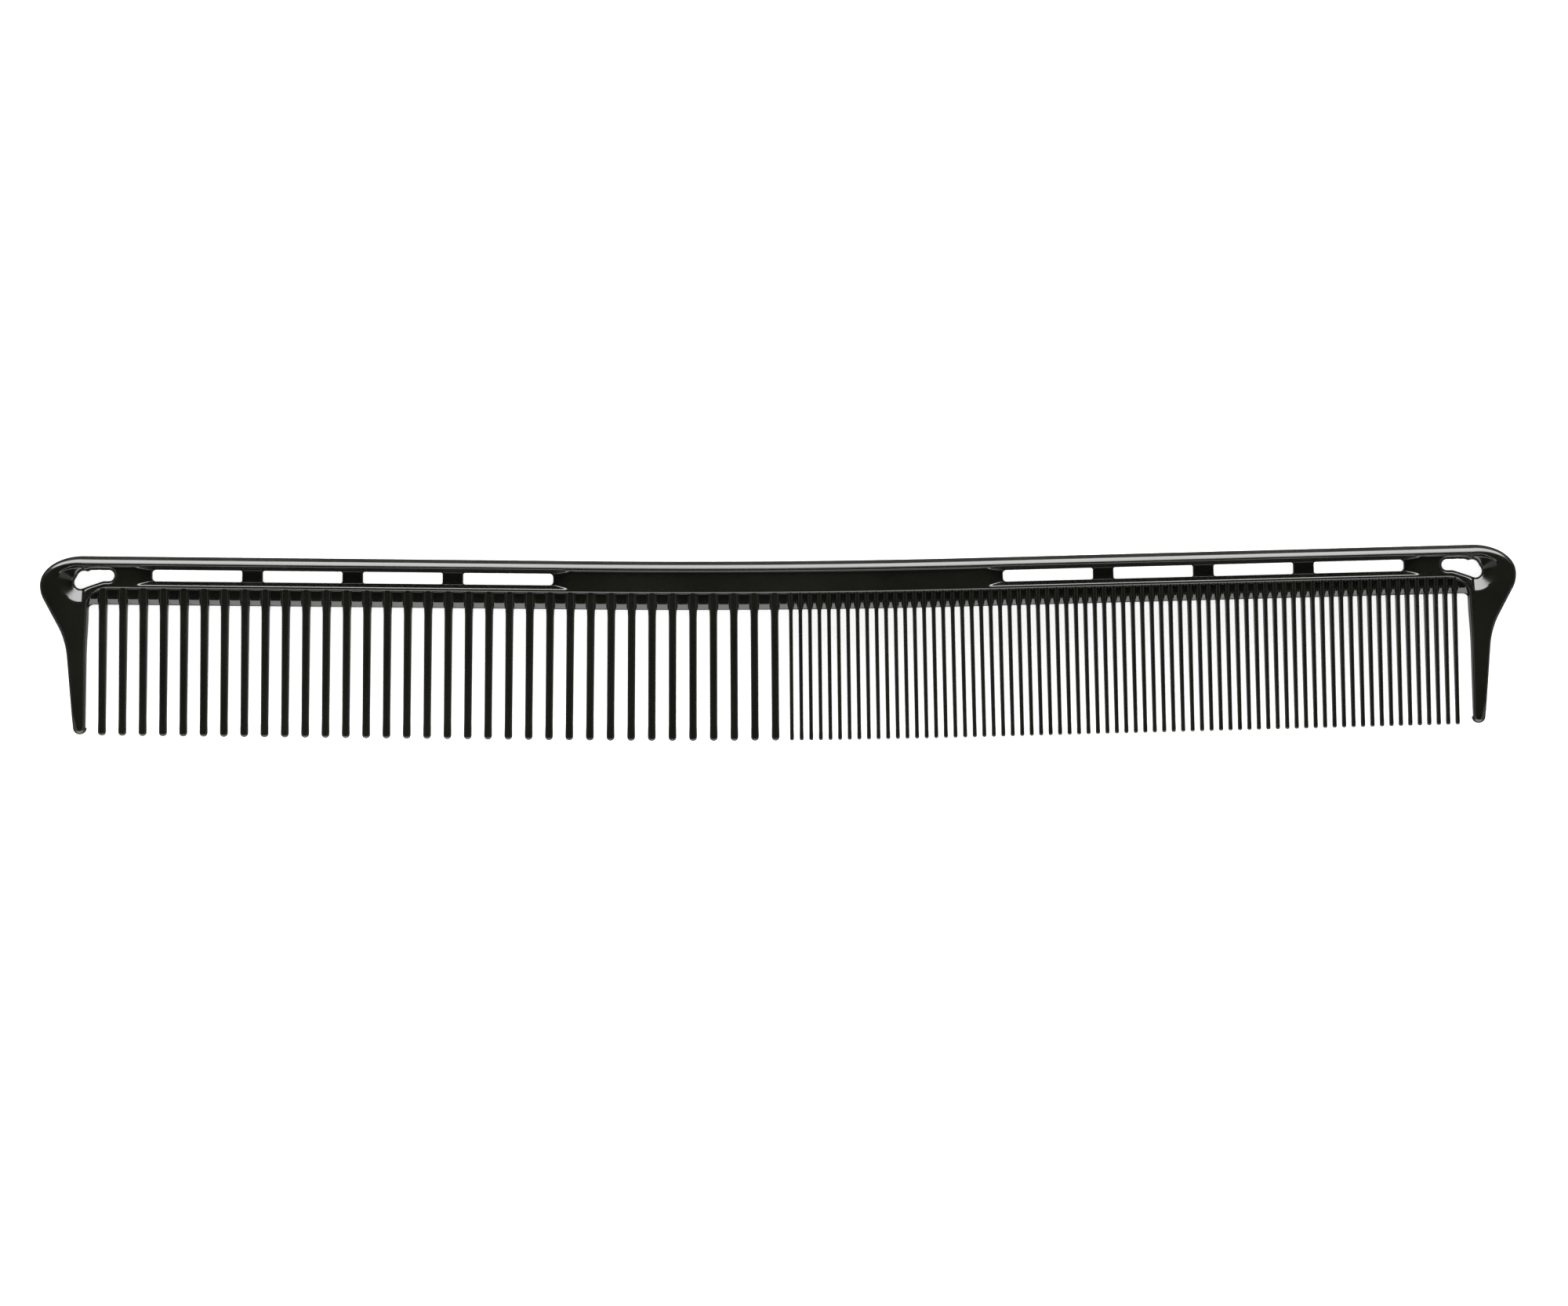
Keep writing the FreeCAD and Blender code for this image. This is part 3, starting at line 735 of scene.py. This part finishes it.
def tooth_rings(kind):
    """Rings of points down a free tooth drawn about run 0, and each ring point's outward way."""
    teeth = TEETH[kind]
    corner_points = teeth["corner_points"]
    tip_width = float(teeth["width"](np.array(COMB_HEIGHT)))
    tip_start = COMB_HEIGHT - tip_width
    rings = [(depth, 1.0) for depth in (TOOTH_SPLIT, *SHAFT_DEPTHS, tip_start)]
    for turn in TIP_TURNS:
        rings.append((tip_start + tip_width * math.sin(turn), math.cos(turn)))
    quarters = [np.linspace(start, start + 90, corner_points) for start in (0, 90, 180, 270)]
    arcs = np.radians(np.concatenate(quarters))
    way = np.stack([np.cos(arcs), np.sin(arcs)], axis=1)
    quadrant = np.repeat(np.array([(1, 1), (-1, 1), (-1, -1), (1, -1)]), corner_points, axis=0)
    points = []
    for depth, share in rings:
        width = float(teeth["width"](np.array(min(depth, tip_start)))) * share
        half = float(tooth_half(depth)) - TIP_THINNING * (1 - share)
        corner = teeth["edge"] * share
        ring = quadrant * (width - corner, half - corner) + way * corner
        points.append(np.stack([ring[:, 0], np.full(len(ring), depth), ring[:, 1]], axis=1))
    return np.array(points), way


def ring_normals(points, way):
    """Outward normals of the rings' points."""
    around = np.zeros_like(points)
    around[:, :, 0] = -way[:, 1]
    around[:, :, 2] = way[:, 0]
    normals = np.cross(np.gradient(points, axis=0), around)
    outward = np.sign((normals[:, :, 0] * way[:, 0] + normals[:, :, 2] * way[:, 1]))
    normals *= np.where(outward == 0, 1, outward)[:, :, None]
    return normals / np.linalg.norm(normals, axis=2)[:, :, None]


def ring_quads(ring_count, ring_size):
    """Quads between the rings and over both ends, and the flat normals of those on the ends."""
    here = np.arange(ring_size)
    following = (here + 1) % ring_size
    sides = []
    for number in range(ring_count - 1):
        a = number * ring_size
        b = a + ring_size
        sides.append(np.stack([a + here, b + here, b + following, a + following], axis=1))
    sides = np.concatenate(sides)
    near = np.arange(ring_size // 2 - 1)
    cap = np.stack([near, near + 1, ring_size - 2 - near, ring_size - 1 - near], axis=1)
    tip = cap[:, ::-1] + (ring_count - 1) * ring_size
    flats = np.zeros((len(sides) + 2 * len(cap), 3))
    flats[len(sides):len(sides) + len(cap), 1] = -1
    flats[len(sides) + len(cap):, 1] = 1
    return np.concatenate([sides, cap, tip]), flats


def tooth_pieces():
    """Every free tooth, from one drawn tooth of each kind."""
    for kind, teeth in TEETH.items():
        rings, way = tooth_rings(kind)
        points = rings.reshape(-1, 3)
        normals = ring_normals(rings, way).reshape(-1, 3)
        quads, flats = ring_quads(len(rings), len(way))
        for number in range(teeth["count"]):
            offset = np.array([teeth["first"] + number * teeth["pitch"], 0, 0])
            name = f"{kind}_tooth_{number + 1:02d}"
            node = name if kind == "coarse" else "fine_teeth"
            add_piece(f"skin_{name}", [node], points + offset, quads, normals, flats)


# ---------------------------------------------------------------- material

def node_maker(tree):
    """A function that adds a node to a tree and sets its properties or its inputs by name."""
    def make(kind, **settings):
        node = tree.nodes.new(kind)
        for name, value in settings.items():
            if hasattr(node, name):
                setattr(node, name, value)
            else:
                node.inputs[name.replace("_", " ")].default_value = value
        return node
    return make


def comb_plastic():
    """Glossy black moulded plastic: faint olive tint, uneven polish, ripple, hairline scratches."""
    material = bpy.data.materials.new("comb_plastic")
    material.use_nodes = True
    tree = material.node_tree
    make, link = node_maker(tree), tree.links.new
    shader = tree.nodes["Principled BSDF"]
    shader.inputs["IOR"].default_value = 1.5
    place = make("ShaderNodeTexCoord")

    polish = make("ShaderNodeTexNoise", Scale=260.0, Detail=4.0, Roughness=0.6)
    link(place.outputs["Object"], polish.inputs["Vector"])
    gloss = make("ShaderNodeMapRange")
    for name, value in (("From Min", 0.3), ("From Max", 0.7), ("To Min", 0.09), ("To Max", 0.17)):
        gloss.inputs[name].default_value = value
    link(polish.outputs["Fac"], gloss.inputs["Value"])
    link(gloss.outputs["Result"], shader.inputs["Roughness"])

    tint = make("ShaderNodeTexNoise", Scale=90.0, Detail=3.0)
    link(place.outputs["Object"], tint.inputs["Vector"])
    colours = make("ShaderNodeValToRGB")
    colours.color_ramp.elements[0].position = 0.35
    colours.color_ramp.elements[0].color = (0.0056, 0.0060, 0.0040, 1)
    colours.color_ramp.elements[1].position = 0.7
    colours.color_ramp.elements[1].color = (0.0088, 0.0093, 0.0068, 1)
    link(tint.outputs["Fac"], colours.inputs["Fac"])
    link(colours.outputs["Color"], shader.inputs["Base Color"])

    stretch = make("ShaderNodeMapping")
    stretch.inputs["Scale"].default_value = (160.0, 5200.0, 1600.0)
    link(place.outputs["Object"], stretch.inputs["Vector"])
    hairlines = make("ShaderNodeTexNoise", Scale=1.0, Detail=2.0)
    link(stretch.outputs["Vector"], hairlines.inputs["Vector"])
    ripple = make("ShaderNodeTexNoise", Scale=420.0, Detail=3.0)
    link(place.outputs["Object"], ripple.inputs["Vector"])
    relief = make("ShaderNodeMix")
    relief.inputs["Factor"].default_value = 0.3
    link(ripple.outputs["Fac"], relief.inputs["A"])
    link(hairlines.outputs["Fac"], relief.inputs["B"])
    bump = make("ShaderNodeBump", Strength=0.35, Distance=0.00002)
    link(relief.outputs["Result"], bump.inputs["Height"])
    link(bump.outputs["Normal"], shader.inputs["Normal"])
    return material


def pale_material(name, glow, albedo):
    """A pale surface that glows and, where its albedo is above 0, takes soft shadows."""
    material = bpy.data.materials.new(name)
    material.use_nodes = True
    tree = material.node_tree
    shader = tree.nodes["Principled BSDF"]
    shader.inputs["Base Color"].default_value = (albedo, albedo, albedo, 1)
    shader.inputs["Roughness"].default_value = 1.0
    shader.inputs["Specular IOR Level"].default_value = 0.0
    shader.inputs["Emission Color"].default_value = (1, 1, 1, 1)
    shader.inputs["Emission Strength"].default_value = glow
    return material


# ---------------------------------------------------------------- floor, lights and camera

FLOOR_REACH = 1.6
FLOOR_DROP = 0.0002              # keeps the floor clear of the comb's underside
DOME_REACH = 6.0


def stage_floor():
    """A pale floor, and beyond it a pale dome all round that only the camera sees."""
    bpy.ops.mesh.primitive_circle_add(vertices=96, radius=FLOOR_REACH, fill_type="NGON",
                                      location=(0, 0, -FLOOR_DROP))
    floor = bpy.context.object
    floor.name = "floor"
    floor.data.materials.append(pale_material("pale_floor", 0.86, 0.8))
    floor.visible_glossy = False
    floor.visible_shadow = False
    bpy.ops.mesh.primitive_uv_sphere_add(segments=64, ring_count=32, radius=DOME_REACH)
    dome = bpy.context.object
    dome.name = "dome"
    dome.data.materials.append(pale_material("pale_dome", 1.0, 0.0))
    for flag in ("visible_glossy", "visible_diffuse", "visible_shadow", "visible_transmission"):
        setattr(dome, flag, False)


def softbox(name, place, size, radiance, softness):
    """A glowing card aimed at the comb, fading towards its edges, that the camera doesn't see."""
    bpy.ops.mesh.primitive_plane_add(size=1.0, location=place)
    card = bpy.context.object
    card.name = name
    card.scale = (size[0], size[1], 1)
    card.rotation_euler = Vector(place).to_track_quat("-Z", "Y").to_euler()
    material = bpy.data.materials.new(name)
    material.use_nodes = True
    tree = material.node_tree
    make, link = node_maker(tree), tree.links.new
    spot = make("ShaderNodeTexCoord")
    split = make("ShaderNodeSeparateXYZ")
    link(spot.outputs["Object"], split.inputs["Vector"])
    fades = []
    for axis in ("X", "Y"):
        distance = make("ShaderNodeMath", operation="ABSOLUTE")
        link(split.outputs[axis], distance.inputs[0])
        fade = make("ShaderNodeMapRange", interpolation_type="SMOOTHSTEP")
        for key, value in (("From Min", 0.5), ("From Max", 0.5 - softness / 2),
                           ("To Min", 0.0), ("To Max", 1.0)):
            fade.inputs[key].default_value = value
        link(distance.outputs[0], fade.inputs["Value"])
        fades.append(fade)
    both = make("ShaderNodeMath", operation="MULTIPLY")
    for number, fade in enumerate(fades):
        link(fade.outputs["Result"], both.inputs[number])
    power = make("ShaderNodeMath", operation="MULTIPLY")
    power.inputs[1].default_value = radiance
    link(both.outputs[0], power.inputs[0])
    glow = make("ShaderNodeEmission")
    link(power.outputs[0], glow.inputs["Strength"])
    link(glow.outputs["Emission"], tree.nodes["Material Output"].inputs["Surface"])
    card.data.materials.append(material)
    card.visible_camera = False
    card.visible_shadow = False


def overhead():
    """A wide light above that brings out the floor's soft shadow and leaves no reflection."""
    light = bpy.data.lights.new("overhead", "AREA")
    light.size = 1.4
    light.energy = 5.5
    lamp = bpy.data.objects.new("overhead", light)
    lamp.location = (0.1, 0.1, 1.6)
    lamp.visible_camera = False
    lamp.visible_glossy = False
    bpy.context.scene.collection.objects.link(lamp)


def lights():
    """Cards for the highlights, placed the same on both sides, and the overhead light."""
    softbox("back_strip", (0, 0.95, 0.29), (2.0, 0.84), 12.5, 0.5)
    softbox("front_fill", (0, -1.0, 0.2), (3.0, 1.1), 4.1, 0.5)
    softbox("front_glow", (0, -0.85, -0.5), (1.8, 0.6), 1.4, 0.6)
    for side in (-1, 1):
        softbox("side_glow", (side * 1.2, -0.1, 0.2), (1.6, 0.8), 1.1, 0.6)
        softbox("dish_glow", (side * 0.75, -0.4, 0.62), (0.5, 0.45), 1.7, 0.6)
        for end in (-1, 1):
            softbox("corner_glow", (side * 0.8, end * 0.8, 0.5), (0.6, 0.5), 1.5, 0.6)
    overhead()


def studio_world():
    """Dim surroundings that darken upwards from the horizon."""
    world = bpy.data.worlds.new("studio")
    bpy.context.scene.world = world
    world.use_nodes = True
    tree = world.node_tree
    make, link = node_maker(tree), tree.links.new
    place = make("ShaderNodeTexCoord")
    split = make("ShaderNodeSeparateXYZ")
    link(place.outputs["Generated"], split.inputs["Vector"])
    ramp = make("ShaderNodeValToRGB")
    ramp.color_ramp.interpolation = "EASE"
    ramp.color_ramp.elements[0].position = 0.0
    ramp.color_ramp.elements[0].color = (0.20, 0.20, 0.20, 1)
    ramp.color_ramp.elements[1].position = 0.75
    ramp.color_ramp.elements[1].color = (0.02, 0.02, 0.02, 1)
    link(split.outputs["Z"], ramp.inputs["Fac"])
    link(ramp.outputs["Color"], tree.nodes["Background"].inputs["Color"])


FIELD_WIDTH = 0.23405            # width of the view at the comb
SENSOR_WIDTH = 36.0
CAMERA_PLACE = (0.00080, -0.00113)
CAMERA_HEIGHT = 1.0
CAMERA_ROLL = 0.0082


def camera():
    """Straight above the comb with a long lens."""
    lens = bpy.data.cameras.new("camera")
    lens.sensor_width = SENSOR_WIDTH
    lens.lens = SENSOR_WIDTH * CAMERA_HEIGHT / FIELD_WIDTH
    lens.clip_end = 50.0
    eye = bpy.data.objects.new("camera", lens)
    eye.location = (*CAMERA_PLACE, CAMERA_HEIGHT + SPINE_HALF * MM)
    eye.rotation_euler = (0, 0, -CAMERA_ROLL)
    bpy.context.scene.collection.objects.link(eye)
    bpy.context.scene.camera = eye


PLASTIC = comb_plastic()
spine_pieces()
guard_pieces()
web_piece("coarse", "coarse_tooth_web", -WEB_JOINT, WEB_SPLIT)
web_piece("fine", "fine_tooth_web_inner", WEB_SPLIT, FINE_SPLIT)
web_piece("fine", "fine_tooth_web_outer", FINE_SPLIT, WEB_JOINT)
tooth_pieces()
stage_floor()
lights()
studio_world()
camera()
bpy.context.scene.view_settings.view_transform = "Standard"
